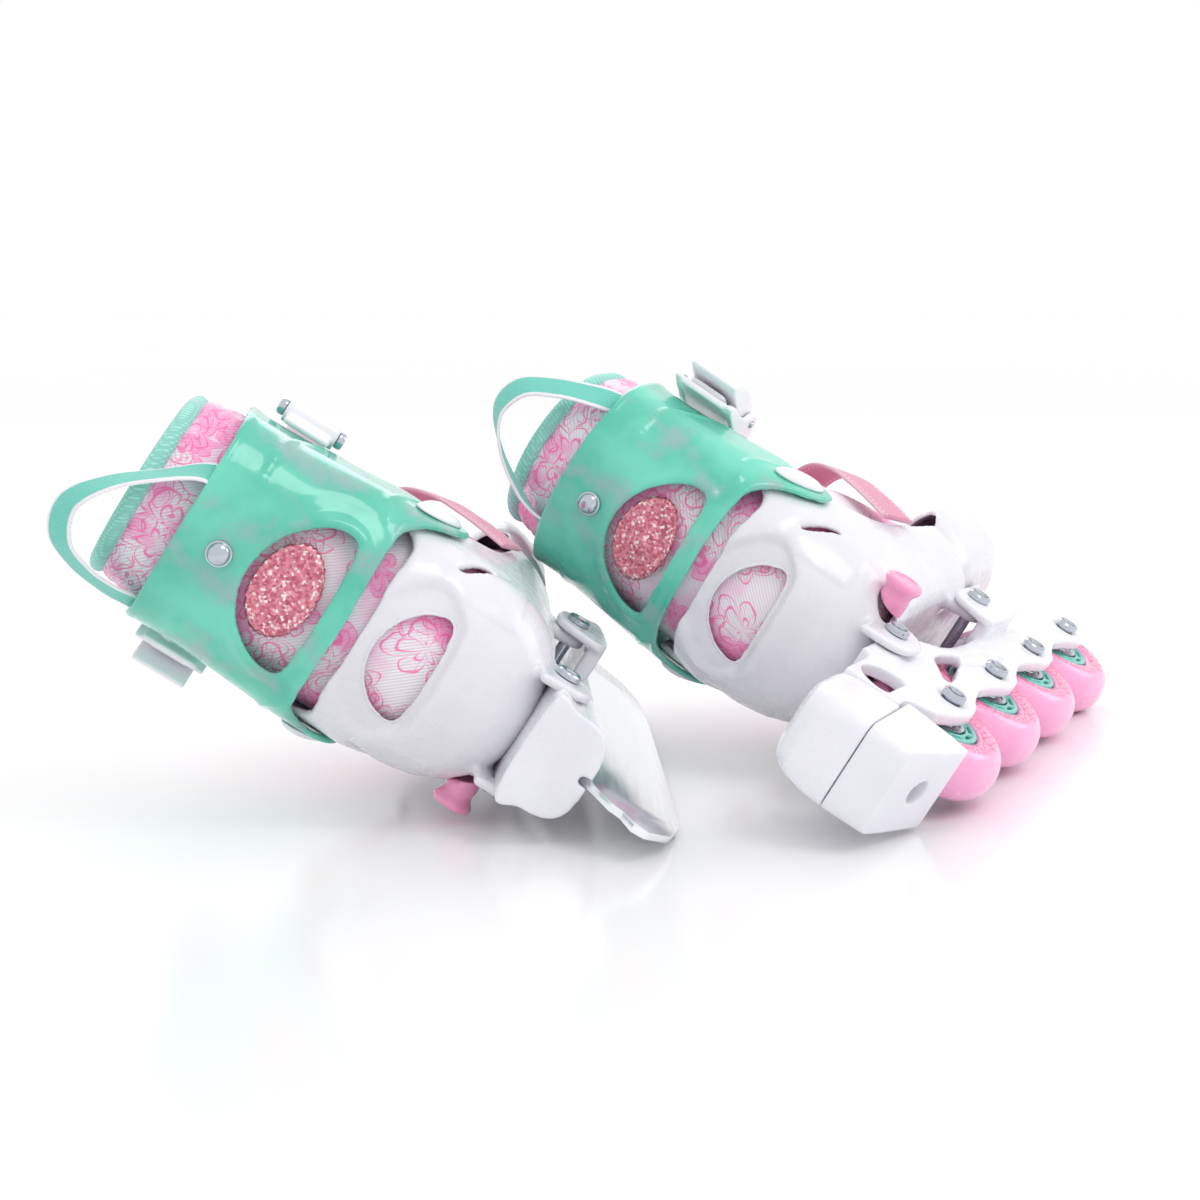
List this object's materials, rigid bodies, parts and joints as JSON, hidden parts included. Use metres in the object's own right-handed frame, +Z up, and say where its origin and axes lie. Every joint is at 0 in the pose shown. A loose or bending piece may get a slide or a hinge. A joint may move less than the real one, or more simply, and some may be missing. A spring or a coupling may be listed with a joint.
{
  "type": "inline skates",
  "caption": "Child's adjustable inline skate and its ice-blade mate lying together, each with a hinged cuff, sliding toe, lever buckle, instep strap, padded liner, carry loop and size button.",
  "frame": {"origin": "centre of the footprint of both skates as they lie, on the floor", "axes": "+Z up from the floor; +X along the row of the two skates, from the ice skate to the inline skate; +Y towards their toes"},
  "size_m": [0.4471, 0.3099, 0.1725],
  "materials": {
    "shell_white": "moulded, slightly glossy white",
    "cuff_teal": "translucent, glossy teal",
    "liner_fabric": "padded woven fabric, pale with pink zones",
    "loop_webbing": "woven webbing with pale edges",
    "trim_white": "moulded, glossy white",
    "strap_fabric": "webbing with a stitched border",
    "button_pink": "glossy pink",
    "frame_white": "moulded, satin white",
    "wheel_pink": "translucent pink urethane",
    "hub_teal": "moulded teal",
    "bearing_steel": "ground steel",
    "bolt_steel": "plated steel",
    "brake_rubber": "dense white brake compound",
    "blade_steel": "ground and brushed steel"
  },
  "bodies": {
    "right_skate": {"right_shell": "shell_white", "right_liner_foot": "liner_fabric", "right_instep_strap": "strap_fabric", "right_mount_bolt_rear": "bolt_steel", "right_mount_bolt_front": "bolt_steel", "right_frame": "frame_white", "right_axle_bolt_1": "bolt_steel", "right_axle_bolt_2": "bolt_steel", "right_axle_bolt_3": "bolt_steel", "right_axle_bolt_4": "bolt_steel", "right_brake_housing": "frame_white", "right_brake_pad": "brake_rubber", "right_brake_bolt": "bolt_steel"},
    "left_skate": {"left_shell": "shell_white", "left_liner_foot": "liner_fabric", "left_instep_strap": "strap_fabric", "left_mount_bolt_rear": "bolt_steel", "left_mount_bolt_front": "bolt_steel", "left_blade_holder": "frame_white", "left_steel_blade": "blade_steel"},
    "right_toe": {"right_toe_cap": "shell_white"},
    "right_cuff_group": {"right_cuff": "cuff_teal", "right_liner_collar": "liner_fabric", "right_carry_loop": "loop_webbing", "right_pivot_cap_1": "trim_white", "right_pivot_cap_2": "trim_white", "right_rivet": "bolt_steel", "right_buckle_base": "trim_white", "right_ladder_strap": "trim_white", "right_strap_hinge_pin": "bolt_steel"},
    "right_lever": {"right_buckle_lever": "trim_white"},
    "right_button": {"right_size_button": "button_pink"},
    "left_toe": {"left_toe_cap": "shell_white"},
    "left_cuff_group": {"left_cuff": "cuff_teal", "left_liner_collar": "liner_fabric", "left_carry_loop": "loop_webbing", "left_pivot_cap_1": "trim_white", "left_pivot_cap_2": "trim_white", "left_rivet": "bolt_steel", "left_buckle_base": "trim_white", "left_ladder_strap": "trim_white", "left_strap_hinge_pin": "bolt_steel"},
    "left_lever": {"left_buckle_lever": "trim_white"},
    "left_button": {"left_size_button": "button_pink"},
    "right_wheel_1": {"right_tyre_1": "wheel_pink", "right_hub_1": "hub_teal", "right_bearing_1a": "bearing_steel", "right_bearing_1b": "bearing_steel"},
    "right_wheel_2": {"right_tyre_2": "wheel_pink", "right_hub_2": "hub_teal", "right_bearing_2a": "bearing_steel", "right_bearing_2b": "bearing_steel"},
    "right_wheel_3": {"right_tyre_3": "wheel_pink", "right_hub_3": "hub_teal", "right_bearing_3a": "bearing_steel", "right_bearing_3b": "bearing_steel"},
    "right_wheel_4": {"right_tyre_4": "wheel_pink", "right_hub_4": "hub_teal", "right_bearing_4a": "bearing_steel", "right_bearing_4b": "bearing_steel"}
  },
  "joints": [
    {"name": "left_skate_apart", "type": "slide", "parent": "right_skate", "child": "left_skate", "axis": [-1, 0, 0], "range_m": [0, 0.15]},
    {"name": "right_toe_slide", "type": "slide", "parent": "right_skate", "child": "right_toe", "axis": [0.4209, 0.9068, -0.0209], "range_m": [0, 0.02]},
    {"name": "right_cuff_flex", "type": "hinge", "parent": "right_skate", "child": "right_cuff_group", "pos_m": [0.03871, -0.00118, 0.08171], "axis": [-0.472, 0.1993, -0.8588], "range_deg": [0, 8]},
    {"name": "right_lever_hinge", "type": "hinge", "parent": "right_cuff_group", "child": "right_lever", "pos_m": [0.03405, 0.05594, 0.15043], "axis": [-0.7746, 0.3714, 0.5119], "range_deg": [0, 75]},
    {"name": "right_button_press", "type": "slide", "parent": "right_skate", "child": "right_button", "axis": [-0.472, 0.1993, -0.8588], "range_m": [0, 0.002], "stiffness_N_per_m": 300, "springref_m": -0.001},
    {"name": "left_toe_slide", "type": "slide", "parent": "left_skate", "child": "left_toe", "axis": [-0.0541, 0.9983, 0.0227], "range_m": [0, 0.02]},
    {"name": "left_cuff_flex", "type": "hinge", "parent": "left_skate", "child": "left_cuff_group", "pos_m": [-0.11062, -0.08857, 0.07715], "axis": [-0.5405, -0.0102, -0.8413], "range_deg": [0, 8]},
    {"name": "left_lever_hinge", "type": "hinge", "parent": "left_cuff_group", "child": "left_lever", "pos_m": [-0.18816, -0.04418, 0.07244], "axis": [0.8396, 0.0577, -0.5401], "range_deg": [0, 75]},
    {"name": "left_button_press", "type": "slide", "parent": "left_skate", "child": "left_button", "axis": [0.5405, 0.0102, 0.8413], "range_m": [0, 0.002], "stiffness_N_per_m": 300, "springref_m": -0.001},
    {"name": "right_wheel_1_spin", "type": "hinge", "parent": "right_skate", "child": "right_wheel_1", "pos_m": [0.10911, -0.06985, 0.02709], "axis": [-0.472, 0.1993, -0.8588], "continuous": true},
    {"name": "right_wheel_2_spin", "type": "hinge", "parent": "right_skate", "child": "right_wheel_2", "pos_m": [0.13731, -0.0091, 0.02568], "axis": [-0.472, 0.1993, -0.8588], "continuous": true},
    {"name": "right_wheel_3_spin", "type": "hinge", "parent": "right_skate", "child": "right_wheel_3", "pos_m": [0.16551, 0.05166, 0.02428], "axis": [-0.472, 0.1993, -0.8588], "continuous": true},
    {"name": "right_wheel_4_spin", "type": "hinge", "parent": "right_skate", "child": "right_wheel_4", "pos_m": [0.19372, 0.11242, 0.02288], "axis": [-0.472, 0.1993, -0.8588], "continuous": true}
  ]
}
